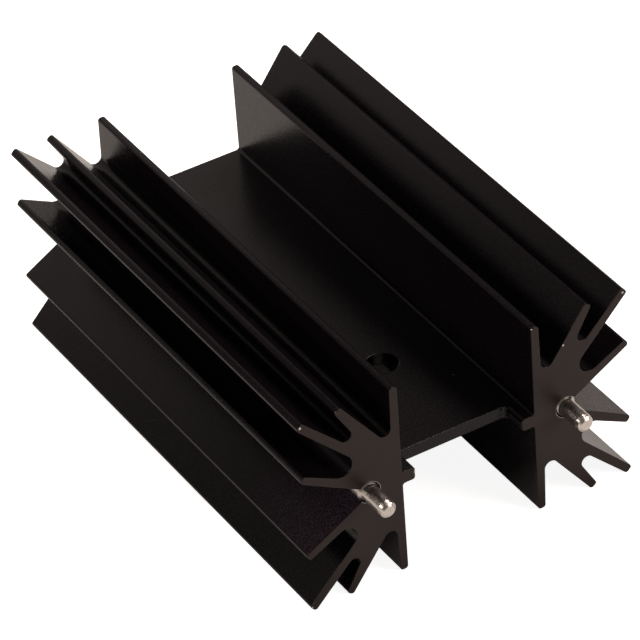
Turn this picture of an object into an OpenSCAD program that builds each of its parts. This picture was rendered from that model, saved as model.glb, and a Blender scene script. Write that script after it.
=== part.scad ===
// Finned heat sink made from one extruded length, with two solder pins held in its end.
// Units are millimetres. X runs across the width, Y along the extrusion from the pin end,
// and Z through the thickness. The origin is midway between the pins on the pin-end face.

/* [Overall] */
// Length of the extrusion along Y, without the pins
length = 63.5; // [38.1:0.1:76.2]
// Width over the outermost fin tips
overall_w = 41.91; // [41.4:0.01:42.4]
// Thickness over the tips of the upper and lower fork fins
overall_h = 25.4; // [25.0:0.05:25.8]

/* [Web] */
// Width of the device channel between the two inner walls
channel_w = 17.08; // [16.6:0.02:17.2]
// Thickness of the web that joins the two finned columns
web_t = 1.54; // [1.2:0.02:2]
// Radius of the fillet where the web meets the inner walls
web_fillet_r = 0.35; // [0.2:0.05:0.6]
// Depth of the notch in the web at the pin end
notch_depth = 3.3; // [2:0.05:6]
// Width of that notch, which leaves a short stub on each wall
notch_w = 13.7; // [12:0.1:15]
// Plan radius of the notch's two inner corners
notch_corner_r = 0.4; // [0.2:0.05:1]
// Radius of the rounded edges of the two stubs
stub_edge_r = 0.45; // [0.2:0.05:0.5]
// Radius of the rounded corner at the front of each stub, in plan
stub_nose_r = 0.25; // [0.1:0.05:0.4]
// Radius of the device mounting hole through the web
hole_r = 1.9; // [1.5:0.05:2.4]
// Distance of the mounting hole from the pin-end face
hole_y = 17.75; // [12:0.25:26]

/* [Fins] */
// Distance from the web's centre plane to the tips of the upright fins, which form the inner walls
wall_tip_z = 12.5; // [12:0.05:12.7]
// Thickness at the tip of an upright fin
wall_tip_t = 0.96; // [0.85:0.01:1.1]
// Draft of an upright fin's outer face, in degrees
wall_draft = 1.2; // [0.6:0.1:1.6]
// Thickness at the tip of the inner fork fin
inner_tip_t = 0.9; // [0.8:0.01:1]
// Lean of the inner fork fin above the web plane, in degrees
inner_angle = 56.4; // [55.8:0.1:57]
// Draft of each face of the inner fork fin, in degrees
inner_draft = 3.5; // [3:0.1:3.8]
// Distance of the inner fork fin's tip from the centre plane
inner_tip_x = 16; // [15.9:0.01:16.1]
// Thickness at the tip of the outer fork fin, which points at the corner
corner_tip_t = 1; // [0.92:0.01:1.05]
// Lean of the corner fin above the web plane, in degrees
corner_angle = 45; // [44.6:0.1:45.4]
// Draft of each face of the corner fin, in degrees
corner_draft = 0.5; // [0.2:0.1:0.8]
// Thickness at the tip of the side fin
side_tip_t = 0.9; // [0.8:0.01:1]
// Lean of the side fin above the web plane, in degrees
side_angle = 28.2; // [27.6:0.1:28.8]
// Draft of each face of the side fin, in degrees
side_draft = 1.3; // [0.8:0.1:1.8]
// Height of the side fin's tip above the web plane
side_tip_z = 5.36; // [5.1:0.01:5.5]
// Radius of the two corners at each fin tip
tip_r = 0.36; // [0.15:0.01:0.39]
// Root radius between the upright wall and the inner fork fin
wall_root_r = 0.84; // [0.7:0.01:1.1]
// Root radius inside the fork
fork_root_r = 0.76; // [0.5:0.01:0.85]
// Root radius between the corner fin and the side fin
side_root_r = 1.4; // [1.1:0.01:1.5]

/* [Pins] */
// Distance between the two solder pins
pin_pitch = 25.4; // [25.1:0.05:25.7]
// Radius of the round groove that grips each pin
groove_r = 1.33; // [1.2:0.01:1.4]
// Radius of the part of a pin that stands out
pin_r = 1.05; // [1:0.01:1.15]
// Length of a pin beyond the end face
pin_out = 4; // [3:0.1:6]
// Radius of the flat at a pin's end
pin_end_r = 0.66; // [0.5:0.01:0.7]
// Length of the bevel round that flat
pin_bevel = 0.26; // [0.15:0.01:0.5]
// Radius where the bevel meets the taper behind it
pin_shoulder_r = 0.97; // [0.72:0.01:0.99]
// Length of that slight taper
pin_taper = 0.45; // [0.2:0.05:0.8]
// Depth of a pin's thicker shank inside the extrusion
shank_depth = 7; // [4:0.5:12]
// Length of the cone that leads from the shank down to the pin
shank_lead = 0.35; // [0.1:0.05:1]

/* [Hidden] */
$fn = 64;
half_w = overall_w / 2;
half_h = overall_h / 2;
half_channel = channel_w / 2;
half_web = web_t / 2;
half_notch = notch_w / 2;
hub_x = pin_pitch / 2;
past = 1;
reach = 40;
overhang = 0.3;
// Every round crosses the flat beside it at this angle, in degrees, so the two meet in a clean edge
crossing = 5;
inset = cos(crossing);

// Unit vectors along an angle and square to it on its left-hand side
function along(a) = [cos(a), sin(a)];
function left_of(a) = [-sin(a), cos(a)];

// Crossing point of two lines, each given by a point and a direction
function meet(p, u, q, v) = p + u * (cross(q - p, v) / cross(u, v));

// A fin is [middle of its end, angle, thickness at the end, draft on its left, draft on its right].
// Its sides are 1 for the left-hand face, seen along the fin towards its end, and -1 for the right.
function draft(f, side) = side > 0 ? f[3] : f[4];
function face_angle(f, side) = f[1] - side * draft(f, side);
function face_point(f, side) = f[0] + left_of(f[1]) * (side * f[2] / 2);
function tip_centre(f, side) =
    meet(face_point(f, side) - left_of(face_angle(f, side)) * (side * tip_r * inset),
        along(face_angle(f, side)),
        f[0] - along(f[1]) * (tip_r * inset),
        left_of(f[1]));

// Where a fin's end goes for its rounded corners to reach the top or the side of the section
function end_z(a, t, d) = half_h - tip_r - tip_centre([[0, 0], a, t, d, d], 1)[1];
function end_x(a, t, d) = half_w - tip_r - tip_centre([[0, 0], a, t, d, d], -1)[0];
wall_fin = [
    [half_channel + wall_tip_t / 2, wall_tip_z],
    90, wall_tip_t, 0, wall_draft];
inner_fin = [
    [inner_tip_x, end_z(inner_angle, inner_tip_t, inner_draft)],
    inner_angle, inner_tip_t, inner_draft, inner_draft];
corner_fin = [
    [end_x(corner_angle, corner_tip_t, corner_draft), end_z(corner_angle, corner_tip_t, corner_draft)],
    corner_angle, corner_tip_t, corner_draft, corner_draft];
side_fin = [
    [end_x(side_angle, side_tip_t, side_draft), side_tip_z],
    side_angle, side_tip_t, side_draft, side_draft];

// Centre of the root round between fin f and the next fin g, clockwise from it
function root_centre(f, g, r) =
    meet(face_point(f, -1) - left_of(face_angle(f, -1)) * (r * inset),
        along(face_angle(f, -1)),
        face_point(g, 1) + left_of(face_angle(g, 1)) * (r * inset),
        along(face_angle(g, 1)));

// A point on the line of a fin's end, past one of its faces
function beyond(f, side) = face_point(f, side) + left_of(f[1]) * (side * overhang);

// What is left of a square corner outside a round of radius r about c
module spandrel(c, a, r) {
    translate(c)
        rotate(a)
            difference() {
                square(r + overhang / 2);
                circle(r = r);
            }
}

// Open space between two neighbouring fins, closed by its root round
module gap(f, g, r) {
    c = root_centre(f, g, r);
    p = c + left_of(face_angle(f, -1)) * (r * inset);
    q = c - left_of(face_angle(g, 1)) * (r * inset);
    polygon([
        p,
        p + along(face_angle(f, -1)) * reach,
        q + along(face_angle(g, 1)) * reach,
        q]);
    translate(c)
        circle(r = r);
}

module tip_corners(f) {
    spandrel(tip_centre(f, 1), f[1], tip_r);
    spandrel(tip_centre(f, -1), f[1] - 90, tip_r);
}

// One quarter of the section: four fins on the upper half of the right-hand column
module quarter() {
    groove_point = meet(face_point(side_fin, -1), along(face_angle(side_fin, -1)), [0, 0], [1, 0]);
    difference() {
        polygon([
            [half_channel, 0],
            face_point(wall_fin, 1),
            beyond(wall_fin, -1),
            beyond(inner_fin, 1),
            beyond(inner_fin, -1),
            beyond(corner_fin, 1),
            beyond(corner_fin, -1),
            beyond(side_fin, 1),
            face_point(side_fin, -1),
            groove_point]);
        gap(wall_fin, inner_fin, wall_root_r);
        gap(inner_fin, corner_fin, fork_root_r);
        gap(corner_fin, side_fin, side_root_r);
        tip_corners(wall_fin);
        tip_corners(inner_fin);
        tip_corners(corner_fin);
        tip_corners(side_fin);
    }
}

// The web out to the right-hand wall, with a concave fillet above and below
module half_web_section() {
    translate([0, -half_web])
        square([half_channel + web_fillet_r, web_t]);
    web_fillet();
    mirror([0, 1])
        web_fillet();
}

module web_fillet() {
    c = [half_channel - web_fillet_r * inset, half_web + web_fillet_r * inset];
    difference() {
        translate([c[0], half_web - web_fillet_r / 2])
            square([web_fillet_r * 1.5, c[1] - half_web + web_fillet_r / 2]);
        translate(c)
            circle(r = web_fillet_r);
    }
}

// Right-hand column of four fins above and four below
module column() {
    difference() {
        union() {
            quarter();
            mirror([0, 1])
                quarter();
        }
        translate([hub_x, 0])
            circle(r = groove_r);
    }
}

module web_section() {
    half_web_section();
    mirror([1, 0])
        half_web_section();
}

module run_of_extrusion() {
    translate([0, length, 0])
        rotate([90, 0, 0])
            linear_extrude(height = length)
                children();
}

// The notch in plan, with its two inner corners rounded
module notch_plan() {
    r = notch_corner_r;
    c = [half_notch - r * inset, notch_depth - r * inset];
    difference() {
        translate([-half_notch, -past])
            square([notch_w, notch_depth + past]);
        spandrel(c, 0, r);
        mirror([1, 0])
            spandrel(c, 0, r);
    }
}

// Cuts that round the long edges of the right-hand stub beside the notch
module stub_edges() {
    r = stub_edge_r;
    c = [half_notch + r * inset, half_web - r * inset];
    run = notch_depth - notch_corner_r;
    translate([0, run, 0])
        rotate([90, 0, 0])
            linear_extrude(height = run + past)
                union() {
                    spandrel(c, 90, r);
                    mirror([0, 1])
                        spandrel(c, 90, r);
                }
}

// Cut that rounds the front corner of the right-hand stub, in plan
module stub_nose() {
    r = stub_nose_r;
    c = [half_notch + r * inset, r * inset];
    translate([0, 0, -web_t])
        linear_extrude(height = 2 * web_t)
            spandrel(c, 180, r);
}

module heat_sink_extrusion() {
    color([0.05, 0.045, 0.05])
        difference() {
            union() {
                run_of_extrusion()
                    column();
                run_of_extrusion()
                    mirror([1, 0])
                        column();
                run_of_extrusion()
                    web_section();
            }
            translate([0, 0, -web_t])
                linear_extrude(height = 2 * web_t)
                    notch_plan();
            stub_edges();
            mirror([1, 0, 0])
                stub_edges();
            stub_nose();
            mirror([1, 0, 0])
                stub_nose();
            translate([0, hole_y, -web_t])
                cylinder(r = hole_r, h = 2 * web_t);
        }
}

// A round cone or cylinder along a pin's axis, from distance a outside the end face to distance b
module turned(a, b, ra, rb) {
    translate([0, 0, a])
        cylinder(r1 = ra, r2 = rb, h = b - a);
}

// A stepped round pin lying along Y, its thick shank gripped by the groove
module solder_pin() {
    bevel_start = pin_out - pin_bevel;
    taper_start = bevel_start - pin_taper;
    color([0.78, 0.77, 0.74])
        rotate([90, 0, 0])
            union() {
                turned(-shank_depth, -shank_lead, groove_r, groove_r);
                turned(-shank_lead, 0, groove_r, pin_r);
                turned(0, taper_start, pin_r, pin_r);
                turned(taper_start, bevel_start, pin_r, pin_shoulder_r);
                turned(bevel_start, pin_out, pin_shoulder_r, pin_end_r);
            }
}

module left_solder_pin() {
    translate([-hub_x, 0, 0])
        solder_pin();
}

module right_solder_pin() {
    translate([hub_x, 0, 0])
        solder_pin();
}

heat_sink_extrusion();
left_solder_pin();
right_solder_pin();
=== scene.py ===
"""Looks of the finned heat sink: materials, floor, light and camera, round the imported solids."""

import bpy
from mathutils import Matrix, Vector


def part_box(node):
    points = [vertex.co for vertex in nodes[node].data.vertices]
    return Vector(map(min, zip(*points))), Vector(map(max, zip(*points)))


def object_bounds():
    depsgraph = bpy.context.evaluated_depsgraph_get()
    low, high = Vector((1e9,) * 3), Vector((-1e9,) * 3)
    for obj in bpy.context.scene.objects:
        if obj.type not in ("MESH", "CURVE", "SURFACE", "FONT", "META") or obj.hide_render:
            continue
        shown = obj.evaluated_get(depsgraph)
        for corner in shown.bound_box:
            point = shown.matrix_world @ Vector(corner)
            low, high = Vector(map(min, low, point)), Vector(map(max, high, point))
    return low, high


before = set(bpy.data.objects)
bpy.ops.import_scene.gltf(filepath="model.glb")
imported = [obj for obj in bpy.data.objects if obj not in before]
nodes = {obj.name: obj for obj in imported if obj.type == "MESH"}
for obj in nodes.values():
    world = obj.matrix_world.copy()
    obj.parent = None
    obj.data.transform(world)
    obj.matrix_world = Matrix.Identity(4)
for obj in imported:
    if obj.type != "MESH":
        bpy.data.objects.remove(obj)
cad_low, cad_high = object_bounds()
scene = bpy.context.scene
MM = 0.001


# ---------------------------------------------------------------- colour and nodes
def srgb(text):
    """Linear RGBA of an sRGB hex colour: each channel c becomes ((c + 0.055) / 1.055) ^ 2.4."""
    out = []
    for i in (0, 2, 4):
        c = int(text[i:i + 2], 16) / 255
        out.append(c / 12.92 if c <= 0.04045 else ((c + 0.055) / 1.055) ** 2.4)
    return (*out, 1.0)


def add(tree, kind, inputs=None, **settings):
    """Adds a node. settings are its properties.

    inputs maps a socket's name or number to a value, an output or a node.
    """
    node = tree.nodes.new(kind)
    for name, value in settings.items():
        setattr(node, name, value)
    for key, value in (inputs or {}).items():
        if isinstance(value, bpy.types.Node):
            value = value.outputs[0]
        if isinstance(value, bpy.types.NodeSocket):
            tree.links.new(value, node.inputs[key])
        else:
            node.inputs[key].default_value = value
    return node


def new_material(name):
    mat = bpy.data.materials.new(name)
    mat.use_nodes = True
    mat.node_tree.nodes.clear()
    return mat, mat.node_tree


def dress(obj, mat):
    obj.data.materials.clear()
    obj.data.materials.append(mat)


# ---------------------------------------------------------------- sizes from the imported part
pin_low, pin_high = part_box("right_solder_pin")
pin_x = (pin_low.x + pin_high.x) / 2
groove_r = (pin_high.x - pin_low.x) / 2
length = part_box("heat_sink_extrusion")[1].y


# ---------------------------------------------------------------- black anodised aluminium
# An etched, dyed film: near black with a faint plum cast, a soft satin gloss, fine grain and die lines.
# The sawn ends took the dye browner and duller. Nicks and the rims of the pin grooves show bare metal.
GRAIN_SIZE = 0.2 * MM  # etch pits, drawn coarser than real so that they show
GRAIN_DEPTH = 0.016 * MM
DIE_LINE_GAP = 0.3 * MM
DIE_LINE_LENGTH = 30 * MM
DIE_LINE_DEPTH = 0.006 * MM
CLOUD_SIZE = 9 * MM
SAW_MARK_GAP = 0.35 * MM
SAW_MARK_LENGTH = 5 * MM
SAW_MARK_TILT = 0.12
END_DEPTH = 0.05 * MM
RIM_OUTER = 0.09 * MM
RIM_INNER = 0.04 * MM
RIM_SHARE = 0.6
# How far behind the front the painted light on the upward faces reaches.
FRONT_LIGHT_REACH = 15 * MM
EDGE_ROUND = 0.16 * MM
NICKS = [  # place in mm, radius in mm
    ((-16.2, 0.0, 12.55), 0.16), ((-20.6, 0.0, 12.3), 0.17), ((8.6, 0.0, 12.4), 0.12),
    ((20.5, 0.0, 12.2), 0.14), ((-20.9, 0.0, -12.3), 0.2), ((5.3, 11.3, 0.77), 0.1),
    ((-7.0, 0.05, 0.1), 0.15), ((12.6, 0.0, 8.5), 0.12),
]


def black_anodised_aluminium():
    mat, t = new_material("black_anodised_aluminium")
    place = add(t, "ShaderNodeTexCoord").outputs["Object"]
    xyz = add(t, "ShaderNodeSeparateXYZ", {0: place})

    # Patterns: etch grain, die lines along Y, and clouds in the dye.
    grain = add(t, "ShaderNodeTexNoise", {
        "Vector": place, "Scale": 1 / GRAIN_SIZE, "Detail": 2.0, "Roughness": 0.65})
    stretched = add(t, "ShaderNodeMapping", {
        "Vector": place, "Scale": (1 / DIE_LINE_GAP, 1 / DIE_LINE_LENGTH, 1 / DIE_LINE_GAP)})
    lines = add(t, "ShaderNodeTexNoise", {
        "Vector": stretched, "Scale": 1.0, "Detail": 3.0, "Roughness": 0.55})
    cloud = add(t, "ShaderNodeTexNoise", {"Vector": place, "Scale": 1 / CLOUD_SIZE, "Detail": 2.0})

    # The two sawn ends: the surface faces along Y and lies within END_DEPTH of an end.
    facing = add(t, "ShaderNodeSeparateXYZ", {
        0: add(t, "ShaderNodeNewGeometry").outputs["True Normal"]})
    along = add(t, "ShaderNodeMath", {0: facing.outputs["Y"]}, operation="ABSOLUTE")
    square = add(t, "ShaderNodeMath", {0: along, 1: 0.9}, operation="GREATER_THAN")
    middle = add(t, "ShaderNodeMath", {0: xyz.outputs["Y"], 1: length / 2}, operation="SUBTRACT")
    out = add(t, "ShaderNodeMath", {0: middle}, operation="ABSOLUTE")
    at_end = add(t, "ShaderNodeMath", {0: out, 1: length / 2 - END_DEPTH}, operation="GREATER_THAN")
    sawn = add(t, "ShaderNodeMath", {0: square, 1: at_end}, operation="MULTIPLY")

    # Saw marks across the ends.
    turned = add(t, "ShaderNodeMapping", {
        "Vector": place, "Rotation": (0, SAW_MARK_TILT, 0),
        "Scale": (1 / SAW_MARK_LENGTH, 1 / SAW_MARK_LENGTH, 1 / SAW_MARK_GAP)})
    marks = add(t, "ShaderNodeTexNoise", {"Vector": turned, "Scale": 1.0, "Detail": 2.0})

    # Bare metal: ragged nicks, and a thin scraped rim round each pin groove on the front face.
    bare = None
    for (x, y, z), r in NICKS:
        away = add(t, "ShaderNodeVectorMath", {
            0: place, 1: (x * MM, y * MM, z * MM)}, operation="DISTANCE")
        inside = add(t, "ShaderNodeMapRange", {
            0: away.outputs["Value"], 1: r * MM * 1.15, 2: r * MM * 0.6, 3: 0.0, 4: 1.0})
        if bare is None:
            bare = inside
        else:
            bare = add(t, "ShaderNodeMath", {0: bare, 1: inside}, operation="MAXIMUM")
    rag = add(t, "ShaderNodeMath", {0: grain.outputs[0], 1: 0.45}, operation="GREATER_THAN")
    bare = add(t, "ShaderNodeMath", {0: bare, 1: rag}, operation="MULTIPLY")
    side = add(t, "ShaderNodeMath", {0: xyz.outputs["X"]}, operation="ABSOLUTE")
    off = add(t, "ShaderNodeMath", {0: side, 1: pin_x}, operation="SUBTRACT")
    flat = add(t, "ShaderNodeCombineXYZ", {0: off, 1: 0.0, 2: xyz.outputs["Z"]})
    radius = add(t, "ShaderNodeVectorMath", {0: flat}, operation="LENGTH").outputs["Value"]
    rim = add(t, "ShaderNodeMapRange", {
        0: radius, 1: groove_r + RIM_OUTER, 2: groove_r + RIM_INNER, 3: 0.0, 4: RIM_SHARE})
    front = add(t, "ShaderNodeMath", {0: xyz.outputs["Y"], 1: length / 2}, operation="LESS_THAN")
    rim = add(t, "ShaderNodeMath", {0: rim, 1: sawn}, operation="MULTIPLY")
    rim = add(t, "ShaderNodeMath", {0: rim, 1: front}, operation="MULTIPLY")
    bare = add(t, "ShaderNodeMath", {0: bare, 1: rim}, operation="MAXIMUM")

    # Colour of the film, with painted light: a paler, speckled sheen painted on the upward faces below the
    # web. It is strongest at the open front, where light falls in, and fades out over a set reach behind
    # it into the shade of the channel.
    film = add(t, "ShaderNodeMix", {
        0: cloud, 6: srgb("0a070b"), 7: srgb("0f0a10")}, data_type="RGBA")
    nearby = add(t, "ShaderNodeMapRange", {
        0: xyz.outputs["Y"], 1: 0.0, 2: FRONT_LIGHT_REACH, 3: 1.0, 4: 0.0})
    low_side = add(t, "ShaderNodeMath", {0: xyz.outputs["Z"], 1: 0.0}, operation="LESS_THAN")
    upward = add(t, "ShaderNodeMath", {0: facing.outputs["Z"], 1: 0.8}, operation="GREATER_THAN")
    painted_front_light = add(t, "ShaderNodeMath", {0: nearby, 1: low_side}, operation="MULTIPLY")
    painted_front_light = add(t, "ShaderNodeMath", {0: painted_front_light, 1: upward}, operation="MULTIPLY")
    specks = add(t, "ShaderNodeMapRange", {0: grain.outputs[0], 1: 0.42, 2: 0.62, 3: 0.1, 4: 1.0})
    painted_front_light = add(t, "ShaderNodeMath", {0: painted_front_light, 1: specks}, operation="MULTIPLY")
    # Painted light: the paler plum colour mixed in wherever the front-light mask is set.
    film = add(t, "ShaderNodeMix", {0: painted_front_light, 6: film.outputs[2], 7: srgb("2e242f")}, data_type="RGBA")

    # Colour of the sawn ends and of the bare metal.
    end = add(t, "ShaderNodeMix", {0: marks, 6: srgb("201716"), 7: srgb("2a2120")}, data_type="RGBA")
    colour = add(t, "ShaderNodeMix", {0: sawn, 6: film.outputs[2], 7: end.outputs[2]}, data_type="RGBA")
    colour = add(t, "ShaderNodeMix", {0: bare, 6: colour.outputs[2], 7: srgb("d9d4cd")}, data_type="RGBA")

    # Roughness: satin on the film, duller on the sawn ends.
    gloss = add(t, "ShaderNodeMapRange", {0: grain.outputs[0], 1: 0.3, 2: 0.7, 3: 0.21, 4: 0.31})
    dull = add(t, "ShaderNodeMapRange", {0: marks.outputs[0], 1: 0.3, 2: 0.7, 3: 0.36, 4: 0.44})
    rough = add(t, "ShaderNodeMix", {0: sawn, 2: gloss, 3: dull}, data_type="FLOAT")

    # Relief: the small round on every sharp edge, then microns of die line and grain.
    rounded = add(t, "ShaderNodeBevel", {"Radius": EDGE_ROUND}, samples=6)
    low = add(t, "ShaderNodeBump", {
        "Height": lines.outputs[0], "Strength": 0.35, "Distance": DIE_LINE_DEPTH, "Normal": rounded})
    bump = add(t, "ShaderNodeBump", {
        "Height": grain.outputs[0], "Strength": 0.6, "Distance": GRAIN_DEPTH, "Normal": low})

    shader = add(t, "ShaderNodeBsdfPrincipled", {
        "Base Color": colour.outputs[2], "Roughness": rough.outputs[0], "Metallic": bare,
        "IOR": 1.5, "Specular IOR Level": 0.2, "Normal": bump})
    add(t, "ShaderNodeOutputMaterial", {"Surface": shader})
    return mat


# ---------------------------------------------------------------- tinned copper pins
# Dipped tin: a bright, slightly warm metal with a lumpy, drawn-out skin and dull patches.
LUMP_WIDTH = 0.7 * MM
LUMP_LENGTH = 2.6 * MM
LUMP_DEPTH = 0.1 * MM
FROST_SIZE = 0.25 * MM
FROST_DEPTH = 0.018 * MM


def tinned_metal():
    mat, t = new_material("tinned_metal")
    place = add(t, "ShaderNodeTexCoord").outputs["Object"]
    drawn = add(t, "ShaderNodeMapping", {
        "Vector": place, "Scale": (1 / LUMP_WIDTH, 1 / LUMP_LENGTH, 1 / LUMP_WIDTH)})
    lumps = add(t, "ShaderNodeTexNoise", {
        "Vector": drawn, "Scale": 1.0, "Detail": 2.5, "Roughness": 0.6})
    fine = add(t, "ShaderNodeTexNoise", {"Vector": place, "Scale": 1 / FROST_SIZE, "Detail": 2.0})
    colour = add(t, "ShaderNodeMix", {0: lumps, 6: srgb("aaa49f"), 7: srgb("d9d4ce")}, data_type="RGBA")
    rough = add(t, "ShaderNodeMapRange", {0: fine.outputs[0], 1: 0.3, 2: 0.7, 3: 0.24, 4: 0.4})
    low = add(t, "ShaderNodeBump", {
        "Height": lumps.outputs[0], "Strength": 0.8, "Distance": LUMP_DEPTH})
    bump = add(t, "ShaderNodeBump", {
        "Height": fine.outputs[0], "Strength": 0.6, "Distance": FROST_DEPTH, "Normal": low})
    shader = add(t, "ShaderNodeBsdfPrincipled", {
        "Base Color": colour.outputs[2], "Roughness": rough, "Metallic": 1.0, "Normal": bump})
    add(t, "ShaderNodeOutputMaterial", {"Surface": shader})
    return mat


dress(nodes["heat_sink_extrusion"], black_anodised_aluminium())
tin = tinned_metal()
dress(nodes["left_solder_pin"], tin)
dress(nodes["right_solder_pin"], tin)


# ---------------------------------------------------------------- floor
WARM = (1.0, 0.88, 0.8, 1.0)
WHITE = (1, 1, 1, 1)
PAPER = (0.8, 0.8, 0.8, 1)
CAMERA_LIFT = 0.9
GLOSS_LIFT = 0.3
FLOOR_REACH = 3.0
FLOOR_GAP = 0.00002
ground = cad_low.z - FLOOR_GAP


def quad(name, corners, mat):
    mesh = bpy.data.meshes.new(name)
    mesh.from_pydata(corners, [], [(0, 1, 2, 3)])
    obj = bpy.data.objects.new(name, mesh)
    scene.collection.objects.link(obj)
    dress(obj, mat)
    return obj


def white_paper():
    """Lit paper, lifted to white for the camera but not deep under the part, and partly for gloss."""
    mat, t = new_material("white_paper")
    place = add(t, "ShaderNodeSeparateXYZ", {0: add(t, "ShaderNodeTexCoord").outputs["Object"]})
    path = add(t, "ShaderNodeLightPath")
    diffuse = add(t, "ShaderNodeBsdfDiffuse", {"Color": PAPER})

    def open_from(inner, outer, front, back):
        """0 under the middle of the part, rising to 1 as |X| goes from inner to outer or Y over a pair."""
        side = add(t, "ShaderNodeMath", {0: place.outputs["X"]}, operation="ABSOLUTE")
        wide = add(t, "ShaderNodeMapRange", {0: side, 1: inner, 2: outer, 3: 0.0, 4: 1.0})
        near = add(t, "ShaderNodeMapRange", {
            0: place.outputs["Y"], 1: front[0], 2: front[1], 3: 0.0, 4: 1.0})
        far = add(t, "ShaderNodeMapRange", {
            0: place.outputs["Y"], 1: back[0], 2: back[1], 3: 0.0, 4: 1.0})
        most = add(t, "ShaderNodeMath", {0: near, 1: far}, operation="MAXIMUM")
        return add(t, "ShaderNodeMath", {0: most, 1: wide}, operation="MAXIMUM")

    seen_open = open_from(14 * MM, 22 * MM, (30 * MM, 22 * MM), (42 * MM, 50 * MM))
    gloss_open = open_from(16 * MM, 26 * MM, (8 * MM, -6 * MM), (58 * MM, 74 * MM))
    camera = add(t, "ShaderNodeMath", {
        0: path.outputs["Is Camera Ray"], 1: path.outputs["Is Transmission Ray"]}, operation="MAXIMUM")
    for_camera = add(t, "ShaderNodeMath", {0: camera, 1: seen_open}, operation="MULTIPLY")
    for_camera = add(t, "ShaderNodeMath", {0: for_camera, 1: CAMERA_LIFT}, operation="MULTIPLY")
    for_gloss = add(t, "ShaderNodeMath", {
        0: path.outputs["Is Glossy Ray"], 1: gloss_open}, operation="MULTIPLY")
    for_gloss = add(t, "ShaderNodeMath", {0: for_gloss, 1: GLOSS_LIFT}, operation="MULTIPLY")
    glow = add(t, "ShaderNodeEmission", {"Color": WHITE, "Strength": for_camera})
    warm = add(t, "ShaderNodeEmission", {"Color": WARM, "Strength": for_gloss})
    both = add(t, "ShaderNodeAddShader", {0: diffuse, 1: glow})
    both = add(t, "ShaderNodeAddShader", {0: both, 1: warm})
    add(t, "ShaderNodeOutputMaterial", {"Surface": both})
    return mat


quad("floor", [(-FLOOR_REACH, -FLOOR_REACH, ground), (FLOOR_REACH, -FLOOR_REACH, ground),
               (FLOOR_REACH, FLOOR_REACH, ground), (-FLOOR_REACH, FLOOR_REACH, ground)], white_paper())


# ---------------------------------------------------------------- light
PANEL = Vector((-10, 185, 55)) * MM
PANEL_HALF = 190 * MM
PANEL_LIFT = 0.001
PANEL_LEVEL = 0.85
FADE_FROM = 45 * MM
FADE_TO = 170 * MM
ROOM_LEVEL = 0.13
AIM = Vector((0, 0.02, 0))


def soft_panel():
    """A glow that fades out from its middle, as a softbox does."""
    mat, t = new_material("softbox_cloth")
    place = add(t, "ShaderNodeTexCoord").outputs["Object"]
    away = add(t, "ShaderNodeVectorMath", {0: place, 1: tuple(PANEL)}, operation="DISTANCE")
    fade = add(t, "ShaderNodeMapRange", {
        0: away.outputs["Value"], 1: FADE_FROM, 2: FADE_TO, 3: PANEL_LEVEL, 4: 0.0},
        interpolation_type="SMOOTHSTEP")
    glow = add(t, "ShaderNodeEmission", {"Color": WARM, "Strength": fade})
    add(t, "ShaderNodeOutputMaterial", {"Surface": glow})
    return mat


left, right = PANEL.x - PANEL_HALF, PANEL.x + PANEL_HALF
foot, head = ground + PANEL_LIFT, PANEL.z + PANEL_HALF
panel = quad("back_softbox", [(left, PANEL.y, foot), (right, PANEL.y, foot),
                              (right, PANEL.y, head), (left, PANEL.y, head)], soft_panel())
panel.visible_camera = False
panel.visible_shadow = False


def lamp(name, direction, distance, size, power):
    """A round warm lamp aimed at the part, with distance and size in metres and power in watts."""
    data = bpy.data.lights.new(name, "AREA")
    data.shape = "DISK"
    data.size = size
    data.energy = power
    data.color = WARM[:3]
    obj = bpy.data.objects.new(name, data)
    scene.collection.objects.link(obj)
    way = Vector(direction).normalized()
    obj.location = AIM + way * distance
    obj.rotation_euler = (-way).to_track_quat("-Z", "Y").to_euler()
    obj.visible_camera = False


lamp("left_lamp", (-0.84, 0.22, 0.50), 0.7, 0.22, 1.8)
lamp("top_lamp", (0.48, 0.28, 0.84), 0.8, 0.25, 3.0)
lamp("front_lamp", (0.55, -0.75, 0.35), 0.8, 0.35, 3.0)

# A dim warm room, which the camera sees as white.
world = bpy.data.worlds.new("studio")
scene.world = world
world.use_nodes = True
t = world.node_tree
t.nodes.clear()
path = add(t, "ShaderNodeLightPath")
seen = add(t, "ShaderNodeMath", {
    0: path.outputs["Is Camera Ray"], 1: path.outputs["Is Transmission Ray"]}, operation="MAXIMUM")
room = add(t, "ShaderNodeBackground", {"Color": WARM, "Strength": ROOM_LEVEL})
white = add(t, "ShaderNodeBackground", {"Color": WHITE, "Strength": 1.0})
mix = add(t, "ShaderNodeMixShader", {0: seen, 1: room, 2: white})
add(t, "ShaderNodeOutputWorld", {"Surface": mix})


# ---------------------------------------------------------------- camera
# The pose is a turn (a rotation vector in radians) and a shift, both from the part's axes to the camera's.
SENSOR = 36.0
FOCAL_TO_WIDTH = 4639.42531 / 640
VIEW_TURN = Vector((2.12672755, -0.634028013, 0.235612688))
VIEW_SHIFT = Vector((16.1721257, 14.0225163, 503.513601)) * MM

cam = bpy.data.cameras.new("camera")
cam.sensor_width = SENSOR
cam.lens = FOCAL_TO_WIDTH * SENSOR
cam.clip_start = 0.01
cam.clip_end = 20.0
camera = bpy.data.objects.new("camera", cam)
scene.collection.objects.link(camera)
turn = Matrix.Rotation(VIEW_TURN.length, 3, VIEW_TURN.normalized())
spot = -(turn.transposed() @ VIEW_SHIFT)
face = turn.transposed() @ Matrix(((1, 0, 0), (0, -1, 0), (0, 0, -1)))
camera.matrix_world = Matrix.Translation(spot) @ face.to_4x4()
scene.camera = camera
scene.view_settings.view_transform = "Standard"
